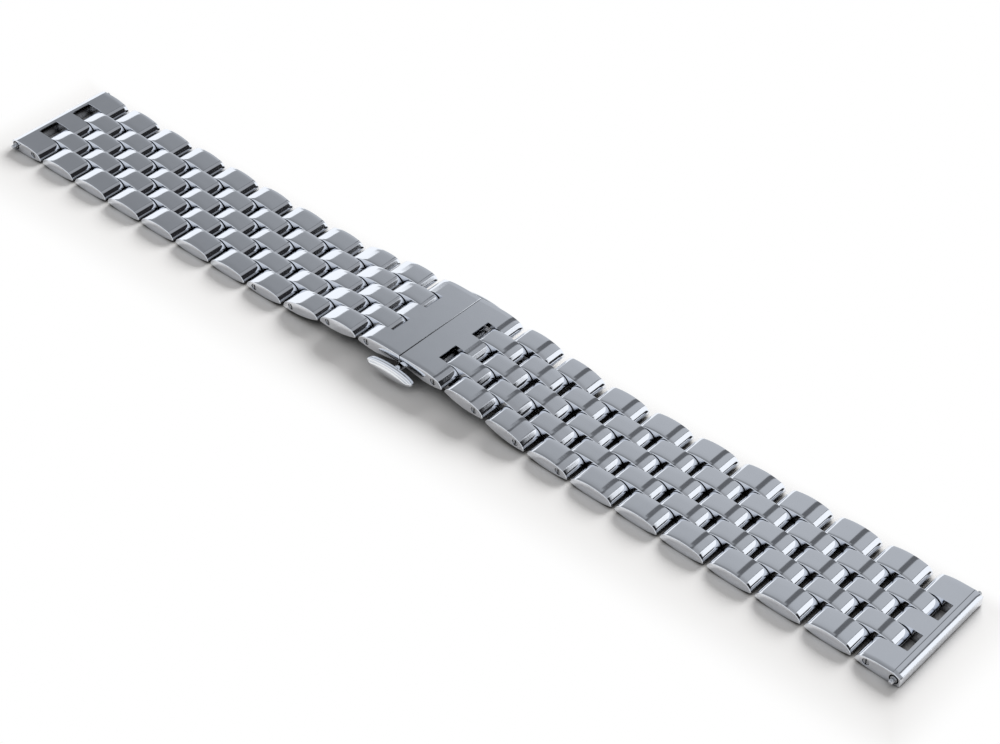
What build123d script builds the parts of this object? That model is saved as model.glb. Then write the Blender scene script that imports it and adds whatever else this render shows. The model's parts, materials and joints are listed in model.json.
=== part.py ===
"""Link watch bracelet, laid out flat with its push-button butterfly clasp closed.

Two mirrored halves of a five-column brick bracelet meet at a parting line over the clasp. +X runs along
the bracelet, +Y across it, +Z up from the surface it lies on; the origin is under the parting line.
Each link is drawn in its own frame, with u outward along the bracelet and w up, and is then set on the
chain, which comes down from the clasp and lies flat from there on. Lengths are in millimetres.
"""
import os
from math import cos, radians, sin, sqrt

from build123d import *

os.makedirs("parts", exist_ok=True)

# Bracelet
lug_width = 20.0
clasp_width = 18.5
pitch = 8.3
row_count = 9
column_gap = 0.1
overrun = 1.0

# Brick: bowed on top and underneath, thin at its ends
brick_length = 7.9
brick_width = 3.55
brick_thickness = 2.15
crown_drop = 1.2
belly_drop = 0.6
tip_round = 0.22
heel_round = 0.16
edge_round = 0.12

# Link pins
pin_radius = 0.5
pin_run = 0.04
pin_seat = 0.01
pin_recess = 0.15
pin_cover = 1.2
open_rows = 3

# Clasp end link
clasp_link_length = 9.0
clasp_crown_radius = 52.0
clasp_edge_thickness = 1.35
clasp_floor_gap = 0.4
parting_gap = 0.1
floor_round = 0.25
pocket_width = 14.1
pocket_wall = 0.9
pocket_depth_end = 1.2
ear_inset = 3.0
ear_radius = 0.9
ear_gap = 0.08
ear_thickness = 0.7
ear_pin_radius = 0.4

# Lug end link
end_link_length = 7.55
end_floor_gap = 1.65
bevel_length = 1.15
bevel_drop = 0.5
under_chamfer = 0.3

# Spring bar
bar_radius = 0.72
bar_bore_radius = 0.63
bar_seat = 0.02
bar_recess = 0.4
bar_crimp = 0.4
bar_end_wall = 0.25
tip_radius = 0.35
tip_body_radius = 0.53
tip_run = 0.03
tip_reach = 0.9
tip_shoulder = 1.2
bar_spring_radius = 0.5
bar_spring_wire = 0.2

# Clasp base
base_half_length = 13.5
base_arch = 0.75
rail_width = 1.8
rail_thickness = 1.1
hinge_radius = 0.8
hinge_pin_radius = 0.4
side_gap = 0.15
bridge_half_length = 1.85
bridge_bottom = 0.55
bridge_top = 1.25
post_top = 3.6

# Folding arm
arm_width = 9.6
arm_thickness = 0.9
arm_bend_radius = 0.8
arm_tip_height = 2.93
arm_pocket_entry = 0.2
tongue_width = 2.5
cheek_width = 0.85
catch_depth = 0.5
catch_gap = 0.05

# Pusher, its housing and its spring
shaft_radius = 0.7
shaft_run = 0.04
shaft_height = 2.3
travel = 0.8
cap_length = 9.4
cap_height = 2.5
cap_thickness = 1.15
cap_bevel = 0.42
cap_shift = 0.7
cap_drop = 0.2
cap_clearance = 0.08
lug_half_length = 2.65
lug_width_y = 0.8
lug_bottom = 2.4
lug_top = 3.0
web_thickness = 1.0
spring_radius = 0.48
spring_wire = 0.22

# Lie of the chain: the steepest link's tilt is solved, the others are shares of it
clasp_tilt = 2.0
tilt_shares = (0.32, 0.63, 1.0, 0.95, 0.47, 0.21, 0.05)

# Worked out from the above
pin_spacing = pitch / 2
pin_inset = pitch / 4
half_brick = brick_length / 2
half_thick = brick_thickness / 2
shoulder = half_thick - crown_drop
heel = belly_drop - half_thick
nose = half_brick - pin_inset
crown_radius = (half_brick**2 + crown_drop**2) / (2 * crown_drop)
belly_radius = (half_brick**2 + belly_drop**2) / (2 * belly_drop)
centre_edge = brick_width / 2
inner_middle = brick_width + column_gap
outer_edge = centre_edge + brick_width + 2 * column_gap
clasp_reach = clasp_link_length - pin_inset
half_length = clasp_link_length + row_count * pitch + end_link_length


def half_width(station):
    """Half the bracelet's width at a distance from the parting line."""
    return clasp_width / 2 + (lug_width - clasp_width) / 2 * station / half_length


def arch(distance, radius=crown_radius):
    """How far an arc has dropped at a distance from its top."""
    return radius - sqrt(radius**2 - distance**2)


def seat(x, z, tilt=0):
    """Frame of a link set on the chain, with the same u and w."""
    lean = radians(tilt)
    return Plane(origin=(x, 0, z), x_dir=(cos(lean), 0, -sin(lean)), z_dir=(sin(lean), 0, cos(lean)))


def placed(frame, u, w):
    """X and Z of a point given in a link's own frame."""
    lean = frame[2]
    x = frame[0] + u * cos(radians(lean)) + w * sin(radians(lean))
    z = frame[1] - u * sin(radians(lean)) + w * cos(radians(lean))
    return x, z


def rod(u, w, radius, y_low, y_high):
    """Round rod across the bracelet."""
    with BuildPart() as body:
        with BuildSketch(Plane.XZ.offset(-y_high)):
            with Locations((u, w)):
                Circle(radius)
        extrude(amount=y_high - y_low)
    return body.part


def block(u_low, u_high, y_low, y_high, w_low, w_high):
    """Square block with its sides along the frame."""
    with BuildPart() as body:
        with BuildSketch(Plane.XZ.offset(-y_high)):
            with Locations(((u_low + u_high) / 2, (w_low + w_high) / 2)):
                Rectangle(u_high - u_low, w_high - w_low)
        extrude(amount=y_high - y_low)
    return body.part


def turned_over(piece, plane=Plane.XZ):
    """Mirror image of a piece, by default near side for far side."""
    with BuildPart() as twin:
        mirror(piece, about=plane)
    return twin.part


def save(piece, name):
    """Label a finished piece and write its file."""
    piece.label = name
    export_step(piece, f"parts/{name}.step")


# The chain's lie: pin places and tilts, from the clasp link outward
def chain_from(x, z, steepest):
    tilts = [steepest * share for share in tilt_shares]
    tilts += [0] * (2 * row_count + 1 - len(tilts))
    points = [(x, z)]
    for tilt in tilts:
        x += pin_spacing * cos(radians(tilt))
        z -= pin_spacing * sin(radians(tilt))
        points.append((x, z))
    return points, tilts


ear_u = ear_inset - clasp_reach
crown_w = half_thick - arch(clasp_reach - pin_inset, clasp_crown_radius)
pocket_w = half_thick - pocket_wall
ear_w = pocket_w - ear_gap - ear_radius
lean = radians(clasp_tilt)
first_x = parting_gap / 2 + clasp_reach * cos(lean) - crown_w * sin(lean)
first_z = arm_tip_height + ear_u * sin(lean) - ear_w * cos(lean)
clasp_frame = (first_x, first_z, clasp_tilt)
tip_x, tip_z = placed(clasp_frame, ear_u, ear_w)

low, high = 0, 45
for _ in range(60):
    steepest_tilt = (low + high) / 2
    chain, tilts = chain_from(first_x, first_z, steepest_tilt)
    if chain[-1][1] > half_thick:
        low = steepest_tilt
    else:
        high = steepest_tilt
end_frame = (*chain[-1], 0)
print("steepest tilt", round(steepest_tilt, 2), "first pin", round(first_x, 3), round(first_z, 3))
print("last pin", [round(value, 3) for value in chain[-1]], "arm tip", round(tip_x, 3), round(tip_z, 3))


def roll_end(outline, end):
    """Round an outline's end at its top corner and at its heel."""
    fillet(outline.vertices().group_by(Axis.X)[end].sort_by(Axis.Y)[-1], radius=tip_round)
    fillet(outline.vertices().group_by(Axis.X)[end].sort_by(Axis.Y)[0], radius=heel_round)


# Bricks
with BuildSketch() as brick_outline:
    with BuildLine():
        top = ThreePointArc((-half_brick, shoulder), (0, half_thick), (half_brick, shoulder))
        under = ThreePointArc((-half_brick, heel), (0, -half_thick), (half_brick, heel))
        Line(top @ 0, under @ 0)
        Line(top @ 1, under @ 1)
    make_face()
    for end in (0, -1):
        roll_end(brick_outline, end)


def narrow_brick(bore_radius):
    """Brick of the three middle columns, with both its pin bores."""
    with BuildPart() as brick:
        with BuildSketch(Plane.XZ.offset(-brick_width / 2)):
            add(brick_outline.sketch)
        extrude(amount=brick_width)
        sides = brick.faces().sort_by(Axis.Y)
        fillet(sides[0].edges() + sides[-1].edges(), radius=edge_round)
        for u in (-pin_inset, pin_inset):
            add(rod(u, 0, bore_radius, -brick_width, brick_width), mode=Mode.SUBTRACT)
    return brick.part


def outer_brick(station, through):
    """Brick of the far outer column, its outer face on the bracelet's taper."""
    inner, outer = half_width(station - half_brick), half_width(station + half_brick)
    with BuildPart() as brick:
        with BuildSketch(Plane.XZ.offset(-outer - overrun)):
            add(brick_outline.sketch)
        extrude(amount=outer + overrun - outer_edge)
        slope = (outer - inner) / brick_length
        split(bisect_by=Plane((0, half_width(station), 0), z_dir=(-slope, 1, 0)), keep=Keep.BOTTOM)
        sides = brick.faces().sort_by(Axis.Y)
        fillet(sides[0].edges() + sides[-1].edges(), radius=edge_round)
        blind = half_width(station) - pin_cover + pin_run
        for u in (-pin_inset, pin_inset):
            reach = outer + overrun if through and u > 0 else blind
            add(rod(u, 0, pin_radius + pin_seat, 0, reach), mode=Mode.SUBTRACT)
    return brick.part


def link_pin(u, station, through):
    """Pin across a row, its near end in sight where its bore comes out."""
    far = half_width(station) - pin_cover
    near = half_width(station) - pin_recess if through else far
    return rod(u, 0, pin_radius, -near, far)


running_brick = narrow_brick(pin_radius + pin_run)
centre_brick = narrow_brick(pin_radius + pin_seat)


def double_link(number):
    """Two bricks that turn on the pins of their neighbours."""
    near, far = chain[2 * number - 2], chain[2 * number - 1]
    middle = ((near[0] + far[0]) / 2, (near[1] + far[1]) / 2)
    with BuildPart() as row:
        with Locations(seat(*middle, tilts[2 * number - 2])):
            with Locations((0, -inner_middle, 0), (0, inner_middle, 0)):
                add(running_brick)
    return row.part


def triple_link(number):
    """A centre brick and two outer ones, with the two pins that join them."""
    inward, outward = chain[2 * number - 1], chain[2 * number]
    middle = ((inward[0] + outward[0]) / 2, (inward[1] + outward[1]) / 2)
    station = clasp_link_length + (number - 1 / 2) * pitch
    through = number <= open_rows
    with BuildPart() as row:
        with Locations(seat(*middle, tilts[2 * number - 1])):
            add(centre_brick)
            add(outer_brick(station, False))
            add(turned_over(outer_brick(station, through)))
            add(link_pin(-pin_inset, station - pin_inset, False))
            add(link_pin(pin_inset, station + pin_inset, through))
    return row.part


def notches(floor, mouth):
    """The two notches that take a double link between the prongs of an end link."""
    low, high = min(floor, mouth), max(floor, mouth)
    with BuildPart() as gaps:
        for y_low in (centre_edge, -outer_edge):
            with BuildSketch(Plane.XY.offset(-brick_thickness)):
                with Locations(((low + high) / 2, y_low + (outer_edge - centre_edge) / 2)):
                    Rectangle(high - low, outer_edge - centre_edge)
            extrude(amount=2 * brick_thickness)
        floor_edges = gaps.edges().filter_by(Axis.Z).group_by(Axis.X)[0 if floor < mouth else -1]
        fillet(floor_edges, radius=floor_round)
    return gaps.part


def taper_cut(piece_station, slope_sign, side):
    """Plane of the bracelet's slanted side, in the frame of an end link."""
    slope = slope_sign * (lug_width - clasp_width) / 2 / half_length
    return Plane((0, side * half_width(piece_station), 0), z_dir=(-slope, side, 0))


def clasp_end_link():
    """E-shaped link that covers an arm's tip and ends at the parting line."""
    back = clasp_reach + overrun
    under_slope = (half_thick - clasp_edge_thickness + crown_w) / (clasp_reach - pin_inset)
    with BuildPart() as link:
        with BuildSketch(Plane.XZ.offset(-lug_width)) as outline:
            with BuildLine():
                crown = ThreePointArc(
                    (-back, half_thick - arch(back - pin_inset, clasp_crown_radius)),
                    (-(back + pin_inset) / 2, half_thick - arch((back - pin_inset) / 2, clasp_crown_radius)),
                    (-pin_inset, half_thick),
                )
                bow = ThreePointArc(
                    crown @ 1,
                    (nose - half_brick / 2, half_thick - arch(half_brick / 2)),
                    (nose, shoulder),
                )
                end = Line(bow @ 1, (nose, heel))
                belly = ThreePointArc(
                    end @ 1,
                    (nose - half_brick / 2, arch(half_brick / 2, belly_radius) - half_thick),
                    (-pin_inset, -half_thick),
                )
                slant = Line(belly @ 1, (-back, (back - pin_inset) * under_slope - half_thick))
                Line(slant @ 1, crown @ 0)
            make_face()
            roll_end(outline, -1)
        extrude(amount=2 * lug_width)
        for side in (-1, 1):
            split(bisect_by=taper_cut(clasp_reach, 1, side), keep=Keep.BOTTOM)
        for index in (0, -1):
            side_edges = link.faces().sort_by(Axis.Y)[index].edges()
            fillet(side_edges.sort_by(Axis.X)[1:], radius=edge_round)
        add(notches(-nose - clasp_floor_gap, nose + overrun), mode=Mode.SUBTRACT)
        half_pocket = pocket_width / 2
        add(block(-back, -pocket_depth_end, -half_pocket, half_pocket, -brick_thickness, pocket_w),
            mode=Mode.SUBTRACT)
        for y_low in (ear_from, -ear_from - ear_thickness):
            y_high = y_low + ear_thickness
            add(block(ear_u - ear_radius, ear_u + ear_radius, y_low, y_high, ear_w, pocket_w + edge_round))
            add(rod(ear_u, ear_w, ear_radius, y_low, y_high))
        half_ears = ear_from + ear_thickness
        add(rod(ear_u, ear_w, ear_pin_radius + pin_run, -half_ears, half_ears), mode=Mode.SUBTRACT)
        far = half_width(clasp_reach) - pin_cover
        bore = pin_radius + pin_seat
        add(rod(0, 0, bore, -lug_width, far + pin_run), mode=Mode.SUBTRACT)
    return link.part


def lug_end_link():
    """E-shaped link with a bevelled end, bored across for the spring bar."""
    end = end_link_length - pin_inset
    with BuildPart() as link:
        with BuildSketch(Plane.XZ.offset(-lug_width)) as outline:
            with BuildLine():
                bow = ThreePointArc(
                    (-nose, shoulder),
                    (pin_inset - half_brick / 2, half_thick - arch(half_brick / 2)),
                    (pin_inset, half_thick),
                )
                belly = ThreePointArc(
                    (-nose, heel),
                    (pin_inset - half_brick / 2, arch(half_brick / 2, belly_radius) - half_thick),
                    (pin_inset, -half_thick),
                )
                Line(bow @ 0, belly @ 0)
                Polyline(
                    bow @ 1,
                    (end - bevel_length, half_thick),
                    (end, half_thick - bevel_drop),
                    (end, under_chamfer - half_thick),
                    (end - under_chamfer, -half_thick),
                    belly @ 1,
                )
            make_face()
            roll_end(outline, 0)
        extrude(amount=2 * lug_width)
        for side in (-1, 1):
            split(bisect_by=taper_cut(half_length - end, 1, side), keep=Keep.BOTTOM)
        sides = link.faces().sort_by(Axis.Y)
        fillet(sides[0].edges() + sides[-1].edges(), radius=edge_round)
        add(notches(nose + end_floor_gap, -nose - overrun), mode=Mode.SUBTRACT)
        add(rod(bar_u, 0, bar_radius + bar_seat, -lug_width, lug_width), mode=Mode.SUBTRACT)
        far = half_width(half_length - end) - pin_cover
        add(rod(0, 0, pin_radius + pin_seat, -lug_width, far + pin_run), mode=Mode.SUBTRACT)
    return link.part


ear_from = tongue_width / 2 + pin_run
bar_u = end_link_length - pin_inset - bar_end_wall - bar_radius - bar_seat
last_station = half_length - end_link_length + pin_inset


def clasp_link_node():
    """Clasp end link and its link pin."""
    with BuildPart() as node:
        with Locations(seat(*clasp_frame)):
            add(clasp_end_link())
            add(link_pin(0, clasp_reach, True))
        split(bisect_by=Plane.YZ.offset(parting_gap / 2), keep=Keep.TOP)
    return node.part


def end_link_node():
    """Lug end link and its link pin."""
    with BuildPart() as node:
        with Locations(seat(*end_frame)):
            add(lug_end_link())
            add(link_pin(0, last_station, True))
    return node.part


# Spring bar in the lug end link
bar_x, bar_z = placed(end_frame, bar_u, 0)
bar_half = half_width(half_length) - bar_recess
tip_base = half_width(half_length) + bar_seat
tip_out = half_width(half_length) + tip_reach
shoulder_out = bar_half - bar_crimp - bar_seat
tip_in = shoulder_out - tip_shoulder


def spring_bar_tube():
    """Tube with its ends crimped in round the tips."""
    with BuildPart() as tube:
        add(rod(bar_x, bar_z, bar_radius, -bar_half, bar_half))
        add(rod(bar_x, bar_z, tip_body_radius + tip_run, -bar_half, bar_half), mode=Mode.SUBTRACT)
        inner = bar_half - bar_crimp
        add(rod(bar_x, bar_z, bar_bore_radius, -inner, inner), mode=Mode.SUBTRACT)
    return tube.part


def spring_bar_tip():
    """Far tip: a pin that stands out of the link, its body, and the shoulder that keeps it in the tube."""
    with BuildPart() as tip:
        add(rod(bar_x, bar_z, tip_body_radius, tip_in, tip_base))
        add(rod(bar_x, bar_z, tip_radius, tip_base, tip_out))
        add(rod(bar_x, bar_z, bar_bore_radius - tip_run, tip_in, shoulder_out))
        chamfer(tip.faces().sort_by(Axis.Y)[-1].edges(), length=edge_round)
    return tip.part


def spring_sleeve(x, z, y_low, y_high, radius, wire):
    """Space that a small coil spring of round wire fills, as a plain sleeve along Y."""
    with BuildPart() as spring:
        add(rod(x, z, radius + wire / 2, y_low, y_high))
        add(rod(x, z, radius - wire / 2, y_low, y_high), mode=Mode.SUBTRACT)
    return spring.part


# Clasp base, with its two hinge pins
rail_in = arm_width / 2 + 2 * side_gap
rail_out = rail_in + rail_width


def clasp_base():
    """Two arched rails with a knuckle at each end, a bridge between them and two bored posts."""
    with BuildPart() as base:
        with BuildSketch(Plane.XZ.offset(-rail_out)):
            with BuildLine():
                rise = hinge_radius + base_arch
                ThreePointArc(
                    (-base_half_length, hinge_radius),
                    (0, rise),
                    (base_half_length, hinge_radius),
                )
            trace(line_width=rail_thickness)
            with Locations((-base_half_length, hinge_radius), (base_half_length, hinge_radius)):
                Circle(hinge_radius)
        extrude(amount=2 * rail_out)
        reach = base_half_length + hinge_radius + overrun
        add(block(-reach, reach, -rail_in, rail_in, -overrun, post_top), mode=Mode.SUBTRACT)
        long = bridge_half_length
        add(block(-long, long, -rail_out, rail_out, bridge_bottom, bridge_top))
        for y_low in (-rail_out, rail_in):
            add(block(-long, long, y_low, y_low + rail_width, bridge_bottom, post_top))
        bore = shaft_radius + shaft_run
        add(rod(0, shaft_height, bore, -rail_out - overrun, rail_out + overrun), mode=Mode.SUBTRACT)
        for x in (-base_half_length, base_half_length):
            seat_radius = hinge_pin_radius + pin_seat
            add(rod(x, hinge_radius, seat_radius, -rail_out, rail_out), mode=Mode.SUBTRACT)
            add(rod(x, hinge_radius, hinge_pin_radius, -rail_out, rail_out))
    return base.part


# Folding arm on the right, with its tip pin
lug_inner = arm_width / 2 - cheek_width - catch_gap - lug_width_y
clear_x = tip_x + ear_radius + side_gap


def folding_arm():
    """Arched arm that rises to a forked tip, where a tongue and two catch cheeks hold its pin."""
    pocket_x = placed(clasp_frame, -pocket_depth_end, 0)[0]
    low_x = pocket_x + arm_pocket_entry
    low_z = hinge_radius + base_arch * (1 - (low_x / base_half_length) ** 2)
    with BuildPart() as arm:
        with BuildSketch(Plane.XZ.offset(-arm_width / 2)):
            with BuildLine():
                FilletPolyline(
                    (base_half_length, hinge_radius),
                    (low_x, low_z),
                    (clear_x, tip_z),
                    (tip_x, tip_z),
                    radius=arm_bend_radius,
                )
            trace(line_width=arm_thickness)
            with Locations((base_half_length, hinge_radius)):
                Circle(hinge_radius)
            with Locations((tip_x, tip_z)):
                Circle(ear_radius)
        extrude(amount=arm_width)
        open_from, open_to = tongue_width / 2, arm_width / 2 - cheek_width
        for y_low, y_high in ((open_from, open_to), (-open_to, -open_from)):
            add(block(0, clear_x, y_low, y_high, 0, 2 * tip_z), mode=Mode.SUBTRACT)
        for side in (-1, 1):
            inner, deep = side * open_to, side * (open_to + catch_depth)
            slot = block(0, lug_half_length + catch_gap, min(inner, deep), max(inner, deep),
                         lug_bottom - catch_gap, lug_top + catch_gap)
            add(slot, mode=Mode.SUBTRACT)
        half_arm = arm_width / 2
        hinge_bore = hinge_pin_radius + pin_run
        add(rod(base_half_length, hinge_radius, hinge_bore, -half_arm, half_arm), mode=Mode.SUBTRACT)
        add(rod(tip_x, tip_z, ear_pin_radius + pin_seat, -open_from, open_from), mode=Mode.SUBTRACT)
        half_pin = ear_from + ear_thickness
        add(rod(tip_x, tip_z, ear_pin_radius, -half_pin, half_pin))
    return arm.part


# Lock housing on the bridge
housing_half = rail_in - side_gap / 3
slot_low = lug_inner - travel - catch_gap
slot_high = lug_inner + lug_width_y + catch_gap


def lock_housing():
    """Block between the base's posts, bored from both ends and slotted for the pushers' lugs."""
    with BuildPart() as housing:
        long = bridge_half_length
        add(block(-long, long, -housing_half, housing_half, bridge_top, post_top))
        chamfer(housing.faces().sort_by(Axis.Z)[-1].edges(), length=side_gap)
        bore = shaft_radius + shaft_run
        for y_low, y_high in ((-housing_half, -web_thickness / 2), (web_thickness / 2, housing_half)):
            add(rod(0, shaft_height, bore, y_low, y_high), mode=Mode.SUBTRACT)
        for y_low, y_high in ((-slot_high, -slot_low), (slot_low, slot_high)):
            add(block(-long, long, y_low, y_high, lug_bottom - catch_gap, post_top), mode=Mode.SUBTRACT)
    return housing.part


# Near pusher: cap, shaft and the two lugs that hold the arms down
clasp_side = half_width(cap_length / 2 + cap_shift)
cap_back = clasp_side + cap_clearance + travel


def near_pusher():
    """Oval bevelled cap on a round shaft with a cross-shaped catch at its inner end."""
    with BuildPart() as pusher:
        rim = cap_back + cap_thickness - cap_bevel
        middle = (-cap_shift, shaft_height - cap_drop)
        with BuildSketch(Plane.XZ.offset(cap_back)):
            with Locations(middle):
                Ellipse(cap_length / 2, cap_height / 2)
        extrude(amount=rim - cap_back)
        for depth, inset in ((rim, 0), (rim + cap_bevel, 2 * cap_bevel)):
            with BuildSketch(Plane.XZ.offset(depth)):
                with Locations(middle):
                    Ellipse(cap_length / 2 - inset, cap_height / 2 - inset / 2)
        loft()
        add(rod(0, shaft_height, shaft_radius, -cap_back, -lug_inner))
        lug = lug_half_length
        add(block(-lug, lug, -lug_inner - lug_width_y, -lug_inner, lug_bottom, lug_top))
    return pusher.part


# The two halves
save(clasp_link_node(), "clasp_link_b")
save(turned_over(clasp_link_node(), Plane.YZ), "clasp_link_a")
save(end_link_node(), "end_link_b")
save(turned_over(end_link_node(), Plane.YZ), "end_link_a")
for number in range(1, row_count + 2):
    row = double_link(number)
    save(row, f"double_link_b{number}")
    save(turned_over(row, Plane.YZ), f"double_link_a{number}")
for number in range(1, row_count + 1):
    row = triple_link(number)
    save(row, f"triple_link_b{number}")
    save(turned_over(row, Plane.YZ), f"triple_link_a{number}")

# Spring bars
far_tip = spring_bar_tip()
near_tip = turned_over(far_tip)
bar_spring = spring_sleeve(bar_x, bar_z, -tip_in, tip_in, bar_spring_radius, bar_spring_wire)
bar_pieces = {
    "spring_bar_tube": spring_bar_tube(),
    "spring_bar_tip_near": near_tip,
    "spring_bar_tip_far": far_tip,
    "spring_bar_spring": bar_spring,
}
for name, piece in bar_pieces.items():
    save(piece, f"{name}_b")
    save(turned_over(piece, Plane.YZ), f"{name}_a")

# Clasp
save(clasp_base(), "clasp_base")
save(lock_housing(), "lock_housing")
arm = folding_arm()
save(arm, "folding_arm_b")
save(turned_over(arm, Plane.YZ), "folding_arm_a")
pusher = near_pusher()
save(pusher, "pusher_near")
save(turned_over(pusher), "pusher_far")
spring = spring_sleeve(0, shaft_height, web_thickness / 2, lug_inner, spring_radius, spring_wire)
save(spring, "pusher_spring_far")
save(turned_over(spring), "pusher_spring_near")
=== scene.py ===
"""Link watch bracelet on a white table, seen as in the photograph.

The rows, the end links and the pushers are rebuilt here as fine smooth meshes in polished steel,
the rows and links on the places that the frame's joints give them. Sizes are in millimetres unless
a comment says otherwise, and objects are in metres. A link's own frame has u outward along its
half, y across the bracelet and w up, with its middle or its pin at zero.
"""
import json
from math import acos, asin, atan2, cos, hypot, pi, radians, sin, sqrt

import bmesh
import bpy
from mathutils import Matrix, Vector


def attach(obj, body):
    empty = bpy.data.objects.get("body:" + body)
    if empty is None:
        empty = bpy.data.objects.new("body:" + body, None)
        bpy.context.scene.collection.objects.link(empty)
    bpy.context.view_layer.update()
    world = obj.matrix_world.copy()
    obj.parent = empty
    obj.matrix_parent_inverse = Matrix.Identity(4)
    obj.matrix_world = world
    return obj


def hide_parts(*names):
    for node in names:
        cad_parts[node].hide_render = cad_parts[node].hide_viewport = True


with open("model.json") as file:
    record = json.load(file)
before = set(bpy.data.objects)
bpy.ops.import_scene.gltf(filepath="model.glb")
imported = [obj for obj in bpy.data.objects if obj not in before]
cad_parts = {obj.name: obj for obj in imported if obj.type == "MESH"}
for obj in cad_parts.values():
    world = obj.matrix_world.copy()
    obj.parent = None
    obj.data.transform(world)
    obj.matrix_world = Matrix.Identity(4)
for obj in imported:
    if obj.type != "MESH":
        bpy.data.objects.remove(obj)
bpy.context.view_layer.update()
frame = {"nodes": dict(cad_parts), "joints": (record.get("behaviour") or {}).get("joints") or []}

MM = 0.001
HALVES = (("a", -1), ("b", 1))
CENTRED = (0, 0, 0)
joints = {joint["name"]: joint for joint in frame["joints"]}

# Bracelet and brick sizes; crown, roll and rounds are a little fuller than the solids'
LUG_WIDTH = 20.0
CLASP_WIDTH = 18.5
PITCH = 8.3
ROWS = 9
COLUMN_GAP = 0.1
BRICK_LENGTH = 7.9
BRICK_WIDTH = 3.55
BRICK_THICKNESS = 2.15
CROWN_RADIUS = 11.0
ROLL_RADIUS = 1.7
BELLY_DROP = 0.55
HEEL_ROUND = 0.22
EDGE_ROUND = 0.08
EDGE_DOME = 0.022
DOME_POWER = 5

# Link pins
OPEN_ROWS = 3
PIN_RADIUS = 0.5
PIN_RECESS = 0.12
PIN_COVER = 1.2
HOLE_DEPTH = 0.6
HOLE_RADIUS = PIN_RADIUS + COLUMN_GAP / 2
SPLIT_WIDTH = 0.2

# End links
CLASP_LINK_LENGTH = 9.0
CLASP_CROWN_RADIUS = 52.0
CLASP_EDGE_THICKNESS = 1.35
CLASP_FLOOR_GAP = 0.4
CLASP_TILT = radians(2.0)
PARTING_ROUND = 0.06
POCKET_WIDTH = 14.1
POCKET_CEILING = 0.175
POCKET_START = 1.2
EAR_RADIUS = 0.9
EAR_THICKNESS = 0.7
EAR_FROM = 1.29
EAR_BORE = 0.44
END_LINK_LENGTH = 7.55
END_FLOOR_GAP = 1.65
BEVEL_LENGTH = 1.15
BEVEL_DROP = 0.5
UNDER_CHAMFER = 0.3
BAR_BORE = 0.74
BAR_END_WALL = 0.25
NOTCH_BEVEL = 0.07
CUT_OVERRUN = 1.0

# Pushers, with the cap's rings as (distance out, distance in from the rim)
CAP_LENGTH = 9.4
CAP_HEIGHT = 2.5
CAP_SHIFT = 0.7
CAP_DROP = 0.2
CAP_BACK_GAP = 0.88
CAP_SEGMENTS = 96
CAP_RINGS = (
    (0.0, 0.16), (0.06, 0.05), (0.14, 0.0), (0.55, 0.0), (0.68, 0.03), (0.78, 0.1), (0.86, 0.22),
    (0.9, 0.36), (0.93, 0.44), (0.93, 0.5), (0.96, 0.56), (1.03, 0.7), (1.09, 0.9), (1.13, 1.1),
)
SHAFT_HEIGHT = 2.3
SHAFT_RADIUS = 0.7
CATCH_HALF_LENGTH = 2.65
CATCH_WIDTH = 0.8
CATCH_INNER = 3.1
CATCH_BOTTOM = 2.4
CATCH_TOP = 3.0

# Worked out from the above
HALF_BRICK = BRICK_LENGTH / 2
HALF_THICK = BRICK_THICKNESS / 2
BELLY_RADIUS = (HALF_BRICK**2 + BELLY_DROP**2) / (2 * BELLY_DROP)
PIN_INSET = PITCH / 4
NOSE = HALF_BRICK - PIN_INSET
CENTRE_EDGE = BRICK_WIDTH / 2
INNER_MIDDLE = BRICK_WIDTH + COLUMN_GAP
OUTER_EDGE = CENTRE_EDGE + BRICK_WIDTH + 2 * COLUMN_GAP
CLASP_REACH = CLASP_LINK_LENGTH - PIN_INSET
END_REACH = END_LINK_LENGTH - PIN_INSET
HALF_LENGTH = CLASP_LINK_LENGTH + ROWS * PITCH + END_LINK_LENGTH
TAPER = (LUG_WIDTH - CLASP_WIDTH) / 2 / HALF_LENGTH

# Fineness of the meshes
CROWN_POINTS = 17
ROLL_POINTS = 19
HEEL_POINTS = 7
BELLY_POINTS = 13
LONG_TOP_POINTS = 25
UNDER_POINTS = 7
LUG_UNDER_POINTS = 5
LUG_TOP_POINTS = 9
SIDE_ANGLES = (90, 65, 42, 20)
BRICK_STATIONS = 11
LINK_STATIONS = 25
ROUND_SEGMENTS = 48
BEVEL_STEPS = 2
BEVEL_TURN = radians(50)
SHARP_TURN = radians(38)
WELD_REACH = 1e-7

# Steel: polishing lines, slow waves and smudges as noise scales per metre, bump heights in metres
LINES_STRETCH = (400, 9000, 9000)
LINES_HEIGHT = 0.00002
WAVES_SCALE = 160.0
WAVES_HEIGHT = 0.0004
SMUDGE_SCALE = 420.0
NOISE_ROUGHNESS = 0.6
SMUDGE_SHADE = 0.94

# Narrow gaps between the bricks lose nearly all their light, so shade is painted into the steel's base
# colour there; reach in metres
CREVICE_REACH = 0.0016
CREVICE_PAINTED_SHADE = (0.02, 0.02, 0.023, 1)
CREVICE_FROM = 0.22
CREVICE_TO = 0.62
OPEN_SKY_SAMPLES = 12

# Table, in metres: painted shadow close under the links, plain white beyond the shadow on each side
TABLE_SIZE = 3
TABLE_WHITE = (0.93, 0.925, 0.92, 1)
TABLE_PAINTED_SHADOW = (0.03, 0.028, 0.026, 1)
CONTACT_REACH = 0.004
CONTACT_FROM = 0.1
CONTACT_TO = 0.7
WHITE_BEHIND = (0.0095, 0.0135)
WHITE_BEFORE = (0.013, 0.024)
WHITE_BESIDE = (0.0915, 0.1)

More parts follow.
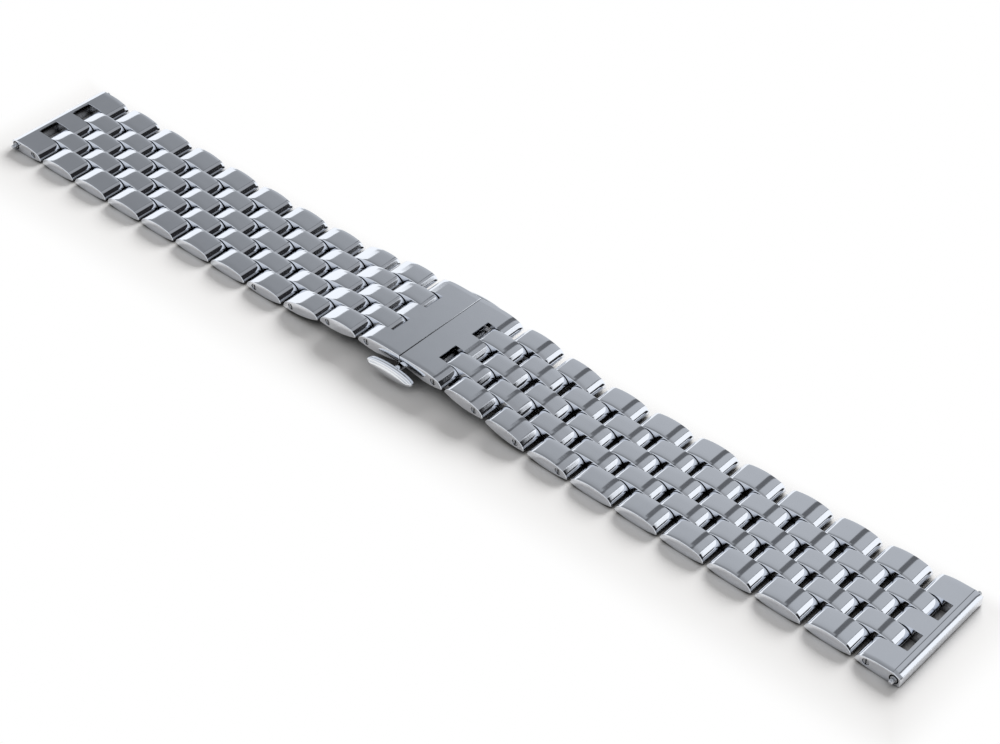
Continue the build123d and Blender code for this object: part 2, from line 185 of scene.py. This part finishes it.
# Studio by direction: grey tones along y, then bands that lie over each other in this order
BEHIND_FROM = 0.3
BEHIND_SOFT = 0.05
SPLIT = 0.56
SPLIT_SOFT = 0.01
FAR = 2
WALL_TONES = (
    (-1.0, 0.6), (-0.3, 0.85), (0.1, 0.85), (0.3, 0.28), (0.48, 0.26), (0.54, 0.35), (0.6, 0.5),
    (1.0, 0.6),
)
WALL_TINT = (0.96, 1.0, 1.06)
PALE = (0.34, 0.35, 0.37)
DIM = (0.13, 0.135, 0.145)
DARK = (0.02, 0.02, 0.022)
BRIGHT = (1.05, 1.08, 1.12)
FILL = (0.4, 0.395, 0.39)
WHITE = (1, 1, 1)
STUDIO_BANDS = (
    ("left", "X", -0.12, FAR, 0.01, PALE),
    ("left", "X", -0.19, -0.14, 0.006, DIM),
    ("right", "X", -0.26, -0.15, 0.012, DIM),
    ("right", "X", 0.2, 0.72, 0.008, BRIGHT),
    ("right", "X", 0.15, 0.2, 0.008, DIM),
    ("left", "X", 0.36, FAR, 0.02, DARK),
    ("behind", "Z", -FAR, 0.28, 0.012, BRIGHT),
    ("left", "Z", -FAR, 0.42, 0.012, BRIGHT),
    ("behind", "X", 0.72, FAR, 0.02, DARK),
)

# Lamp, in metres and watts
LAMP_PLACE = (-0.05, 0.5, 0.32)
LAMP_SIZE = (0.5, 0.3)
LAMP_ENERGY = 4.2

# Camera, placed from the fitted view of the bracelet's joints
CAMERA_PLACE = Vector((179.57, -189.20, 222.97)) * MM
CAMERA_AXES = (
    (0.74658, 0.66528, 0.0038),
    (-0.43947, 0.48889, 0.75356),
    (0.49947, -0.56426, 0.65737),
)
LENS_MM = 80.1
SENSOR_MM = 36
CLIP_START = 0.01


def half_width(station):
    """Half the bracelet's width at a distance from the parting line."""
    return CLASP_WIDTH / 2 + TAPER * station


def sag(distance, radius):
    """How far an arc has dropped at a distance from its top."""
    return radius - sqrt(radius**2 - distance**2)


def steps(low, high, count):
    """Evenly spaced values with both ends."""
    return [low + (high - low) * index / (count - 1) for index in range(count)]


# Profiles, as closed loops of (u, w) points

def arc_points(centre, radius, first, last, count):
    """Points on an arc, its angles in radians from the upright, towards the outer end."""
    points = []
    for angle in steps(first, last, count):
        points.append((centre[0] + radius * sin(angle), centre[1] + radius * cos(angle)))
    return points


def bowed_half():
    """Outer half of a brick's outline: crown, rolled end, heel and belly, from the top's middle down."""
    crown_centre = HALF_THICK - CROWN_RADIUS
    roll_u = HALF_BRICK - ROLL_RADIUS
    lean = asin(roll_u / (CROWN_RADIUS - ROLL_RADIUS))
    roll = Vector((roll_u, crown_centre + (CROWN_RADIUS - ROLL_RADIUS) * cos(lean)))
    belly = Vector((0, BELLY_RADIUS - HALF_THICK))
    # The heel's round touches the roll and the belly from inside
    apart = (roll - belly).length
    from_belly = BELLY_RADIUS - HEEL_ROUND
    from_roll = ROLL_RADIUS - HEEL_ROUND
    opening = acos((from_belly**2 + apart**2 - from_roll**2) / (2 * from_belly * apart))
    toward = atan2(roll.x - belly.x, roll.y - belly.y) - opening
    heel = belly + from_belly * Vector((sin(toward), cos(toward)))
    turn = atan2(heel.x - roll.x, heel.y - roll.y)
    points = arc_points((0, crown_centre), CROWN_RADIUS, 0, lean, CROWN_POINTS)
    points += arc_points(roll, ROLL_RADIUS, lean, turn, ROLL_POINTS)[1:]
    points += arc_points(heel, HEEL_ROUND, turn, toward, HEEL_POINTS)[1:]
    points += arc_points(belly, BELLY_RADIUS, toward, pi, BELLY_POINTS)[1:]
    return points


def brick_profile():
    """Bowed brick with a rolled tip at both ends."""
    half = bowed_half()
    return half + [(-u, w) for u, w in reversed(half[1:-1])]


def clasp_profile():
    """Clasp end link: long crown from the parting line, bowed nose at the link pin."""
    back = CLASP_REACH
    edge = HALF_THICK - sag(back - PIN_INSET, CLASP_CROWN_RADIUS)
    nose = [(u - PIN_INSET, w) for u, w in bowed_half()]
    under = steps(-PIN_INSET, -back, UNDER_POINTS)[1:]
    drop = HALF_THICK + edge - CLASP_EDGE_THICKNESS
    points = nose + [(u, -HALF_THICK + drop * (-PIN_INSET - u) / (back - PIN_INSET)) for u in under]
    points[-1] = (points[-1][0] + PARTING_ROUND, points[-1][1])
    points += [(-back, edge - CLASP_EDGE_THICKNESS + PARTING_ROUND), (-back, edge - PARTING_ROUND)]
    top = steps(-back + PARTING_ROUND, -PIN_INSET, LONG_TOP_POINTS)[:-1]
    return points + [(u, HALF_THICK - sag(-PIN_INSET - u, CLASP_CROWN_RADIUS)) for u in top]


def end_profile():
    """Lug end link: bowed nose at the link pin, bevelled end."""
    under = steps(PIN_INSET, END_REACH - UNDER_CHAMFER, LUG_UNDER_POINTS)[1:]
    top = steps(END_REACH - BEVEL_LENGTH, PIN_INSET, LUG_TOP_POINTS)[:-1]
    points = [(PIN_INSET - u, w) for u, w in bowed_half()]
    points += [(u, -HALF_THICK) for u in under]
    points += [(END_REACH, UNDER_CHAMFER - HALF_THICK), (END_REACH, HALF_THICK - BEVEL_DROP)]
    return points + [(u, HALF_THICK) for u in top]


def inward(points, amount):
    """Loop moved inward by an amount."""
    area = 0
    count = len(points)
    for index, (u, w) in enumerate(points):
        next_u, next_w = points[(index + 1) % count]
        area += u * next_w - next_u * w
    side = 1 if area > 0 else -1
    result = []
    for index, (u, w) in enumerate(points):
        before, after = points[index - 1], points[(index + 1) % count]
        run_u, run_w = after[0] - before[0], after[1] - before[1]
        length = hypot(run_u, run_w)
        result.append((u - side * run_w / length * amount, w + side * run_u / length * amount))
    return result


# Meshes

def side_stations(low, high, inner_count):
    """Stations across a piece with how far its loop is drawn in at each, rounded at both sides."""
    half = (high - low) / 2
    middle = (high + low) / 2
    stations = []
    for angle in SIDE_ANGLES:
        drawn = EDGE_ROUND * (1 - cos(radians(angle)))
        stations.append((EDGE_ROUND - half - EDGE_ROUND * sin(radians(angle)), drawn))
    far_side = [(-place, drawn) for place, drawn in reversed(stations)]
    stations += [(place, 0) for place in steps(EDGE_ROUND - half, half - EDGE_ROUND, inner_count)]
    return [(middle + place, drawn) for place, drawn in stations + far_side]


def joined_rings(edit, rings, ends):
    """Faces between the rings and over the loops at both ends."""
    count = len(rings[0])
    for first, second in zip(rings, rings[1:]):
        for index in range(count):
            after = (index + 1) % count
            edit.faces.new((first[index], first[after], second[after], second[index]))
    for ring in ends:
        edit.faces.new(ring)
    bmesh.ops.recalc_face_normals(edit, faces=edit.faces)


def prism(profile, low, high, stations, dome=0.0, slant_low=0.0, slant_high=0.0):
    """Mesh of a loop drawn across from low to high, with rounded sides that may slant along u.

    The dome lowers the top a little towards both sides.
    """
    edit = bmesh.new()
    rings = []
    for y, drawn in side_stations(low, high, stations):
        share = (y - low) / (high - low)
        fall = dome * abs(2 * share - 1) ** DOME_POWER
        ring = []
        for u, w in inward(profile, drawn):
            place = y + u * (slant_low * (1 - share) + slant_high * share)
            height = w - fall * max(0, w) / HALF_THICK
            ring.append(edit.verts.new((u * MM, place * MM, height * MM)))
        rings.append(ring)
    joined_rings(edit, rings, (rings[0], rings[-1][::-1]))
    return edit


def as_mesh(edit, name):
    """Mesh data from an edit mesh, which is freed."""
    mesh = bpy.data.meshes.new(name)
    edit.to_mesh(mesh)
    edit.free()
    return mesh


def cylinder(u, w, radius, low, high):
    """Round rod across the bracelet, as an edit mesh."""
    edit = bmesh.new()
    turn = Matrix.Rotation(pi / 2, 4, "X")
    place = Matrix.Translation(Vector((u, (low + high) / 2, w)) * MM)
    bmesh.ops.create_cone(edit, cap_ends=True, segments=ROUND_SEGMENTS, radius1=radius * MM,
                          radius2=radius * MM, depth=(high - low) * MM, matrix=place @ turn)
    return edit


def box(low, high):
    """Square block between two corners, as an edit mesh."""
    edit = bmesh.new()
    size = Vector([high[index] - low[index] for index in range(3)]) * MM
    middle = Vector([(high[index] + low[index]) / 2 for index in range(3)]) * MM
    place = Matrix.Translation(middle) @ Matrix.Diagonal((*size, 1))
    bmesh.ops.create_cube(edit, size=1, matrix=place)
    return edit


def combined(mesh, others, operation):
    """Mesh after a boolean with each of the others."""
    body = bpy.data.objects.new("work", mesh)
    bpy.context.scene.collection.objects.link(body)
    helpers = []
    for edit in others:
        helper = bpy.data.objects.new("helper", as_mesh(edit, "helper"))
        bpy.context.scene.collection.objects.link(helper)
        helpers.append(helper)
        modifier = body.modifiers.new("cut", "BOOLEAN")
        modifier.operation = operation
        modifier.solver = "EXACT"
        modifier.object = helper
    graph = bpy.context.evaluated_depsgraph_get()
    result = bpy.data.meshes.new_from_object(body.evaluated_get(graph))
    for thing in (body, *helpers):
        bpy.data.objects.remove(thing)
    return result


def softened(mesh):
    """Mesh with its sharp edges rounded a little."""
    edit = bmesh.new()
    edit.from_mesh(mesh)
    bmesh.ops.remove_doubles(edit, verts=edit.verts, dist=WELD_REACH)
    edges = []
    for edge in edit.edges:
        if len(edge.link_faces) == 2 and edge.calc_face_angle(0) > BEVEL_TURN:
            edges.append(edge)
    bmesh.ops.bevel(edit, geom=edges, offset=NOTCH_BEVEL * MM, segments=BEVEL_STEPS, affect="EDGES",
                    clamp_overlap=True)
    edit.to_mesh(mesh)
    edit.free()
    return mesh


def link_place(side, x, z, tilt):
    """Matrix from a link's own frame to its place on one half."""
    lean = Matrix.Rotation(tilt, 4, "Y")
    return Matrix.Diagonal((side, 1, 1, 1)) @ Matrix.Translation((x, 0, z)) @ lean


def row_place(side, inner, outer):
    """Matrix that sets a link on the chain between two of its pins, given by their joints."""
    first = Vector(joints[inner]["pos_m"])
    second = Vector(joints[outer]["pos_m"])
    middle = (first + second) / 2
    tilt = atan2(first.z - second.z, abs(second.x - first.x))
    return link_place(side, abs(middle.x), middle.z, tilt)


def set_out(name, parts, place, body, material, replaced):
    """One piece from several meshes, set in its place on its body."""
    edit = bmesh.new()
    for mesh, shift in parts:
        copy = mesh.copy()
        copy.transform(Matrix.Translation(Vector(shift) * MM))
        edit.from_mesh(copy)
        bpy.data.meshes.remove(copy)
    edit.transform(place)
    bmesh.ops.recalc_face_normals(edit, faces=edit.faces)
    for face in edit.faces:
        face.smooth = True
    mesh = as_mesh(edit, name)
    mesh.set_sharp_from_angle(angle=SHARP_TURN)
    piece = bpy.data.objects.new(name, mesh)
    bpy.context.scene.collection.objects.link(piece)
    mesh.materials.clear()
    mesh.materials.append(material)
    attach(piece, body)
    if replaced:
        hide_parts(*replaced)


# Shader nodes

def node(tree, kind, **settings):
    """New shader node with some of its settings and inputs given."""
    made = tree.nodes.new(kind)
    for key, value in settings.items():
        if key in made.inputs:
            made.inputs[key].default_value = value
        else:
            setattr(made, key, value)
    return made


def socket(sockets, name):
    """The enabled socket of that name; a colour mix has one for each kind of value."""
    return next(item for item in sockets if item.name == name and item.enabled)


def shader(name):
    """New node material with its Principled shader."""
    material = bpy.data.materials.new(name)
    material.use_nodes = True
    return material, material.node_tree, material.node_tree.nodes["Principled BSDF"]


def split_axes(tree, output):
    """The X, Y and Z of a texture coordinate, as sockets."""
    place = node(tree, "ShaderNodeTexCoord")
    parts = node(tree, "ShaderNodeSeparateXYZ")
    tree.links.new(place.outputs[output], parts.inputs["Vector"])
    return parts.outputs


def spread(tree, source, kind, **ends):
    """Source value carried from one span to another."""
    names = {"from_low": "From Min", "from_high": "From Max", "to_low": "To Min", "to_high": "To Max"}
    made = node(tree, "ShaderNodeMapRange", interpolation_type=kind)
    for key, value in ends.items():
        made.inputs[names[key]].default_value = value
    tree.links.new(source, made.inputs["Value"])
    return made.outputs["Result"]


def ramp_up(tree, source, low, high):
    """0 below low, 1 above high, smooth between."""
    return spread(tree, source, "SMOOTHSTEP", from_low=low, from_high=high)


def of_both(tree, operation, first, second):
    """Math node of two values."""
    made = node(tree, "ShaderNodeMath", operation=operation)
    tree.links.new(first, made.inputs[0])
    tree.links.new(second, made.inputs[1])
    return made.outputs["Value"]


def band(tree, source, low, high, soft):
    """1 where the source lies between low and high, with soft ends."""
    rise = ramp_up(tree, source, low - soft, low + soft)
    fall = spread(tree, source, "SMOOTHSTEP", from_low=high - soft, from_high=high + soft,
                  to_low=1, to_high=0)
    return of_both(tree, "MULTIPLY", rise, fall)


def color_mix(tree, mask):
    """Mix of two colours, A where the mask is 0 and B where it is 1."""
    mix = node(tree, "ShaderNodeMix", data_type="RGBA")
    tree.links.new(mask, socket(mix.inputs, "Factor"))
    return mix


def over(tree, below, mask, color):
    """Colour laid over another where the mask is 1."""
    mix = color_mix(tree, mask)
    tree.links.new(below, socket(mix.inputs, "A"))
    socket(mix.inputs, "B").default_value = (*color, 1)
    return socket(mix.outputs, "Result")


def open_sky(tree, reach, low, high):
    """1 in the open, 0 where other surfaces within reach cover most of the sky."""
    cover = node(tree, "ShaderNodeAmbientOcclusion", Distance=reach)
    cover.samples = OPEN_SKY_SAMPLES
    return ramp_up(tree, cover.outputs["AO"], low, high)


def blended(tree, mask, first, second):
    """Second shader where the mask is 1, else the first."""
    mix = node(tree, "ShaderNodeMixShader")
    tree.links.new(mask, mix.inputs["Fac"])
    tree.links.new(first, mix.inputs[1])
    tree.links.new(second, mix.inputs[2])
    return mix.outputs["Shader"]


# Materials

def make_steel(name, color, rough_low, rough_high, grain, wave):
    """Steel with faint polishing lines along the bracelet, a slow waviness, uneven gloss and painted
    shade in narrow gaps.
    """
    material, tree, principled = shader(name)
    principled.inputs["Metallic"].default_value = 1
    place = node(tree, "ShaderNodeTexCoord").outputs["Object"]
    stretch = node(tree, "ShaderNodeMapping")
    stretch.inputs["Scale"].default_value = LINES_STRETCH
    tree.links.new(place, stretch.inputs["Vector"])
    lines = node(tree, "ShaderNodeTexNoise", Scale=1.0, Detail=3.0, Roughness=NOISE_ROUGHNESS)
    tree.links.new(stretch.outputs["Vector"], lines.inputs["Vector"])
    slow = node(tree, "ShaderNodeTexNoise", Scale=WAVES_SCALE, Detail=1.0)
    tree.links.new(place, slow.inputs["Vector"])
    smudge = node(tree, "ShaderNodeTexNoise", Scale=SMUDGE_SCALE, Detail=4.0, Roughness=NOISE_ROUGHNESS)
    tree.links.new(place, smudge.inputs["Vector"])

    shade = color_mix(tree, smudge.outputs["Fac"])
    socket(shade.inputs, "A").default_value = (*[channel * SMUDGE_SHADE for channel in color], 1)
    socket(shade.inputs, "B").default_value = (*color, 1)
    # Painted shade: the base colour turns nearly black where other surfaces within reach cover most of
    # the sky, as in the gaps between the bricks
    painted_crevice_shade = color_mix(tree, open_sky(tree, CREVICE_REACH, CREVICE_FROM, CREVICE_TO))
    socket(painted_crevice_shade.inputs, "A").default_value = CREVICE_PAINTED_SHADE
    tree.links.new(socket(shade.outputs, "Result"), socket(painted_crevice_shade.inputs, "B"))
    tree.links.new(socket(painted_crevice_shade.outputs, "Result"), principled.inputs["Base Color"])
    gloss = spread(tree, smudge.outputs["Fac"], "LINEAR", to_low=rough_low, to_high=rough_high)
    tree.links.new(gloss, principled.inputs["Roughness"])

    waves = node(tree, "ShaderNodeBump", Strength=wave, Distance=WAVES_HEIGHT)
    tree.links.new(slow.outputs["Fac"], waves.inputs["Height"])
    fine = node(tree, "ShaderNodeBump", Strength=grain, Distance=LINES_HEIGHT)
    tree.links.new(lines.outputs["Fac"], fine.inputs["Height"])
    tree.links.new(waves.outputs["Normal"], fine.inputs["Normal"])
    tree.links.new(fine.outputs["Normal"], principled.inputs["Normal"])
    return material


# Colour, lowest and highest roughness, strength of the lines, strength of the waves
polished = make_steel("polished_steel", (0.86, 0.88, 0.92), 0.03, 0.09, 0.05, 0.02)
satin = make_steel("satin_steel", (0.62, 0.63, 0.65), 0.26, 0.38, 0.35, 0.03)
pusher_steel = make_steel("pusher_steel", (0.84, 0.86, 0.89), 0.03, 0.08, 0.04, 0.02)
pin_steel = make_steel("pin_steel", (0.55, 0.56, 0.58), 0.12, 0.25, 0.2, 0.02)


# Bricks and rows

BRICK = brick_profile()


def narrow_brick():
    """Brick of the three inner columns."""
    half = BRICK_WIDTH / 2
    return as_mesh(prism(BRICK, -half, half, BRICK_STATIONS, dome=EDGE_DOME), "narrow_brick")


def pin_hole(u, outer):
    """Cutter for the hole of a link pin that comes out on the near side."""
    return cylinder(u, 0, HOLE_RADIUS, -outer - CUT_OVERRUN, -outer + HOLE_DEPTH)


def outer_brick(station, side, through):
    """Outer brick, its outer face on the taper, with a pin hole where its pin comes out."""
    outer = half_width(station)
    if side > 0:
        edit = prism(BRICK, OUTER_EDGE, outer, BRICK_STATIONS, dome=EDGE_DOME, slant_high=TAPER)
    else:
        edit = prism(BRICK, -outer, -OUTER_EDGE, BRICK_STATIONS, dome=EDGE_DOME, slant_low=-TAPER)
    mesh = as_mesh(edit, "outer_brick")
    if through:
        mesh = combined(mesh, [pin_hole(PIN_INSET, outer)], "DIFFERENCE")
    return mesh


def set_pin(name, u, outer, place, body):
    """Split end of a link pin, just inside its hole on the near side."""
    rod = as_mesh(cylinder(u, 0, PIN_RADIUS, -outer + PIN_RECESS, -outer + PIN_COVER), "pin_end")
    reach = PIN_RADIUS + COLUMN_GAP
    slit = box((u - SPLIT_WIDTH / 2, -outer - CUT_OVERRUN, -reach),
               (u + SPLIT_WIDTH / 2, -outer + HOLE_DEPTH, reach))
    parts = [(combined(rod, [slit], "DIFFERENCE"), CENTRED)]
    set_out(name, parts, place, body, pin_steel, [])


def make_rows():
    """All the two-brick and three-brick rows of both halves."""
    narrow = narrow_brick()
    for half, side in HALVES:
        for number in range(1, ROWS + 2):
            name = f"double_link_{half}{number}"
            after = f"triple_link_{half}{number}_flex" if number <= ROWS else f"end_link_{half}_flex"
            place = row_place(side, f"{name}_flex", after)
            parts = [(narrow, (0, -INNER_MIDDLE, 0)), (narrow, (0, INNER_MIDDLE, 0))]
            set_out(f"row_two_{half}{number}", parts, place, name, polished, [name])
        for number in range(1, ROWS + 1):
            name = f"triple_link_{half}{number}"
            station = CLASP_LINK_LENGTH + (number - 0.5) * PITCH
            through = number <= OPEN_ROWS
            place = row_place(side, f"{name}_flex", f"double_link_{half}{number + 1}_flex")
            parts = [(narrow, CENTRED), (outer_brick(station, 1, False), CENTRED),
                     (outer_brick(station, -1, through), CENTRED)]
            set_out(f"row_three_{half}{number}", parts, place, name, polished, [name])
            if through:
                outer = half_width(station + PIN_INSET)
                set_pin(f"pin_{half}{number}", PIN_INSET, outer, place, name)


# End links

def notch_boxes(floor, mouth):
    """Blocks that cut the two notches of an end link."""
    low, high = min(floor, mouth), max(floor, mouth)
    deep = BRICK_THICKNESS
    return [box((low, CENTRE_EDGE, -deep), (high, OUTER_EDGE, deep)),
            box((low, -OUTER_EDGE, -deep), (high, -CENTRE_EDGE, deep))]


def ear_mesh(ear, y_low):
    """Ear under a clasp end link, bored for the arm's pin."""
    y_high = y_low + EAR_THICKNESS
    ring = as_mesh(cylinder(ear.x, ear.z, EAR_RADIUS, y_low, y_high), "ear")
    root = box((ear.x - EAR_RADIUS, y_low, ear.z), (ear.x + EAR_RADIUS, y_high, POCKET_CEILING))
    bore = cylinder(ear.x, ear.z, EAR_BORE, y_low - CUT_OVERRUN, y_high + CUT_OVERRUN)
    return combined(combined(ring, [root], "UNION"), [bore], "DIFFERENCE")


def make_clasp_links():
    """The two E-shaped links over the clasp, pocketed underneath for the arms, with their ears."""
    outer = half_width(CLASP_REACH)
    edit = prism(clasp_profile(), -outer, outer, LINK_STATIONS, slant_low=-TAPER, slant_high=TAPER)
    half_pocket = POCKET_WIDTH / 2
    cuts = notch_boxes(-NOSE - CLASP_FLOOR_GAP, NOSE + CUT_OVERRUN)
    cuts.append(box((-CLASP_REACH - CUT_OVERRUN, -half_pocket, -BRICK_THICKNESS),
                    (-POCKET_START, half_pocket, POCKET_CEILING)))
    cuts.append(pin_hole(0, outer))
    mesh = softened(combined(as_mesh(edit, "clasp_link"), cuts, "DIFFERENCE"))
    for half, side in HALVES:
        pin = joints[f"double_link_{half}1_flex"]["pos_m"]
        ear_pin = joints[f"clasp_link_{half}_unfold"]["pos_m"]
        place = link_place(side, abs(pin[0]), pin[2], CLASP_TILT)
        ear = place.inverted() @ Vector((ear_pin[0], 0, ear_pin[2])) / MM
        parts = [(mesh, CENTRED)]
        for y_low in (EAR_FROM, -EAR_FROM - EAR_THICKNESS):
            parts.append((ear_mesh(ear, y_low), CENTRED))
        name = f"clasp_link_{half}"
        set_out(f"clasp_cover_{half}", parts, place, name, polished, [name])
        set_pin(f"clasp_pin_{half}", 0, outer, place, name)


def make_end_links():
    """The two E-shaped links at the lugs, bored for the spring bars."""
    outer = half_width(HALF_LENGTH - END_REACH)
    edit = prism(end_profile(), -outer, outer, LINK_STATIONS, slant_low=-TAPER, slant_high=TAPER)
    bar_u = END_REACH - BAR_END_WALL - BAR_BORE
    cuts = notch_boxes(NOSE + END_FLOOR_GAP, -NOSE - CUT_OVERRUN)
    cuts.append(cylinder(bar_u, 0, BAR_BORE, -LUG_WIDTH, LUG_WIDTH))
    cuts.append(pin_hole(0, outer))
    mesh = softened(combined(as_mesh(edit, "end_link"), cuts, "DIFFERENCE"))
    for half, side in HALVES:
        pin = joints[f"end_link_{half}_flex"]["pos_m"]
        place = link_place(side, abs(pin[0]), pin[2], 0)
        name = f"end_link_{half}"
        set_out(f"lug_end_{half}", [(mesh, CENTRED)], place, name, polished, [name])
        set_pin(f"lug_pin_{half}", 0, outer, place, name)


# Pushers

def cap_mesh(back):
    """Oval cap with a bevelled rim, a fine step and a low dome."""
    edit = bmesh.new()
    rings = []
    for depth, drawn in CAP_RINGS:
        ring = []
        for index in range(CAP_SEGMENTS):
            angle = 2 * pi * index / CAP_SEGMENTS
            x = -CAP_SHIFT + (CAP_LENGTH / 2 - drawn) * cos(angle)
            z = SHAFT_HEIGHT - CAP_DROP + (CAP_HEIGHT / 2 - drawn) * sin(angle)
            ring.append(edit.verts.new((x * MM, -(back + depth) * MM, z * MM)))
        rings.append(ring)
    joined_rings(edit, rings, (rings[0], rings[-1]))
    return as_mesh(edit, "cap")


def make_pushers():
    """Both pushers: cap, shaft and catch."""
    back = half_width(CAP_LENGTH / 2 + CAP_SHIFT) + CAP_BACK_GAP
    cap = cap_mesh(back)
    shaft = as_mesh(cylinder(0, SHAFT_HEIGHT, SHAFT_RADIUS, -back, -CATCH_INNER), "shaft")
    catch = box((-CATCH_HALF_LENGTH, -CATCH_INNER - CATCH_WIDTH, CATCH_BOTTOM),
                (CATCH_HALF_LENGTH, -CATCH_INNER, CATCH_TOP))
    shaft = combined(shaft, [catch], "UNION")
    for name, side in (("near", 1), ("far", -1)):
        place = Matrix.Diagonal((1, side, 1, 1))
        body = f"pusher_{name}"
        parts = [(cap, CENTRED), (shaft, CENTRED)]
        set_out(f"button_{name}", parts, place, body, pusher_steel, [body])


# Stage

def make_camera():
    """The photograph's view."""
    data = bpy.data.cameras.new("camera")
    data.lens = LENS_MM
    data.sensor_width = SENSOR_MM
    data.clip_start = CLIP_START
    camera = bpy.data.objects.new("camera", data)
    bpy.context.scene.collection.objects.link(camera)
    turn = Matrix(CAMERA_AXES).transposed().to_4x4()
    camera.matrix_world = Matrix.Translation(CAMERA_PLACE) @ turn
    bpy.context.scene.camera = camera


def make_floor():
    """White table top: soft shadow round the bracelet, part cast by the lamp and part painted close
    under it, pure white further off.
    """
    bpy.ops.mesh.primitive_plane_add(size=TABLE_SIZE)
    floor = bpy.context.object
    floor.name = "floor"
    material, tree, principled = shader("table_white")
    # Painted shadow: the table's base colour turns nearly black where the bracelet covers most of its
    # sky
    shade = color_mix(tree, open_sky(tree, CONTACT_REACH, CONTACT_FROM, CONTACT_TO))
    socket(shade.inputs, "A").default_value = TABLE_PAINTED_SHADOW
    socket(shade.inputs, "B").default_value = TABLE_WHITE
    tree.links.new(socket(shade.outputs, "Result"), principled.inputs["Base Color"])
    principled.inputs["Roughness"].default_value = 1.0
    principled.inputs["Specular IOR Level"].default_value = 0
    white = node(tree, "ShaderNodeEmission", Color=(*WHITE, 1), Strength=1.0)

    axes = split_axes(tree, "Object")
    along = node(tree, "ShaderNodeMath", operation="ABSOLUTE")
    tree.links.new(axes["X"], along.inputs[0])
    before = node(tree, "ShaderNodeMath", operation="MULTIPLY")
    before.inputs[1].default_value = -1
    tree.links.new(axes["Y"], before.inputs[0])
    sides = of_both(tree, "MAXIMUM", ramp_up(tree, axes["Y"], *WHITE_BEHIND),
                    ramp_up(tree, before.outputs["Value"], *WHITE_BEFORE))
    most = of_both(tree, "MAXIMUM", sides, ramp_up(tree, along.outputs["Value"], *WHITE_BESIDE))
    shaded = blended(tree, most, principled.outputs["BSDF"], white.outputs["Emission"])
    tree.links.new(shaded, tree.nodes["Material Output"].inputs["Surface"])
    floor.data.materials.append(material)


def wall_color(tree, y):
    """Grey tones of the studio along y."""
    ramp = node(tree, "ShaderNodeValToRGB")
    tree.links.new(spread(tree, y, "LINEAR", from_low=-1), ramp.inputs["Fac"])
    stops = ramp.color_ramp.elements
    while len(stops) < len(WALL_TONES):
        stops.new(0.5)
    for stop, (height, tone) in zip(stops, WALL_TONES):
        stop.position = (height + 1) / 2
        stop.color = (*[tone * channel for channel in WALL_TINT], 1)
    return ramp.outputs["Color"]


def make_world():
    """Studio by direction: grey walls, with light and dark strips behind that the steel reflects.

    Diffuse light comes evenly from all round, and the camera sees plain white.
    """
    world = bpy.data.worlds.new("studio")
    bpy.context.scene.world = world
    world.use_nodes = True
    tree = world.node_tree
    background = tree.nodes["Background"]
    axes = split_axes(tree, "Generated")
    behind = band(tree, axes["Y"], BEHIND_FROM, FAR, BEHIND_SOFT)
    left = of_both(tree, "MULTIPLY", band(tree, axes["Y"], BEHIND_FROM, SPLIT, SPLIT_SOFT), behind)
    right = band(tree, axes["Y"], SPLIT, FAR, SPLIT_SOFT)
    regions = {"behind": behind, "left": left, "right": right}

    color = wall_color(tree, axes["Y"])
    for region, axis, low, high, soft, tone in STUDIO_BANDS:
        mask = of_both(tree, "MULTIPLY", regions[region], band(tree, axes[axis], low, high, soft))
        color = over(tree, color, mask, tone)
    light = node(tree, "ShaderNodeLightPath")
    color = over(tree, color, light.outputs["Is Diffuse Ray"], FILL)
    color = over(tree, color, light.outputs["Is Camera Ray"], WHITE)
    tree.links.new(color, background.inputs["Color"])
    background.inputs["Strength"].default_value = 1.0


def make_lamp():
    """Broad soft lamp behind and above, which throws the shadow towards the viewer."""
    data = bpy.data.lights.new("back_softbox", "AREA")
    data.shape = "RECTANGLE"
    data.size, data.size_y = LAMP_SIZE
    data.energy = LAMP_ENERGY
    lamp = bpy.data.objects.new("back_softbox", data)
    bpy.context.scene.collection.objects.link(lamp)
    lamp.location = LAMP_PLACE
    aim = -Vector(LAMP_PLACE)
    lamp.rotation_euler = aim.to_track_quat("-Z", "Y").to_euler()
    lamp.visible_glossy = False


for thing in frame["nodes"].values():
    thing.data.materials.clear()
    thing.data.materials.append(satin)

make_rows()
make_clasp_links()
make_end_links()
make_pushers()
make_camera()
make_floor()
make_world()
make_lamp()
bpy.context.scene.view_settings.view_transform = "Standard"
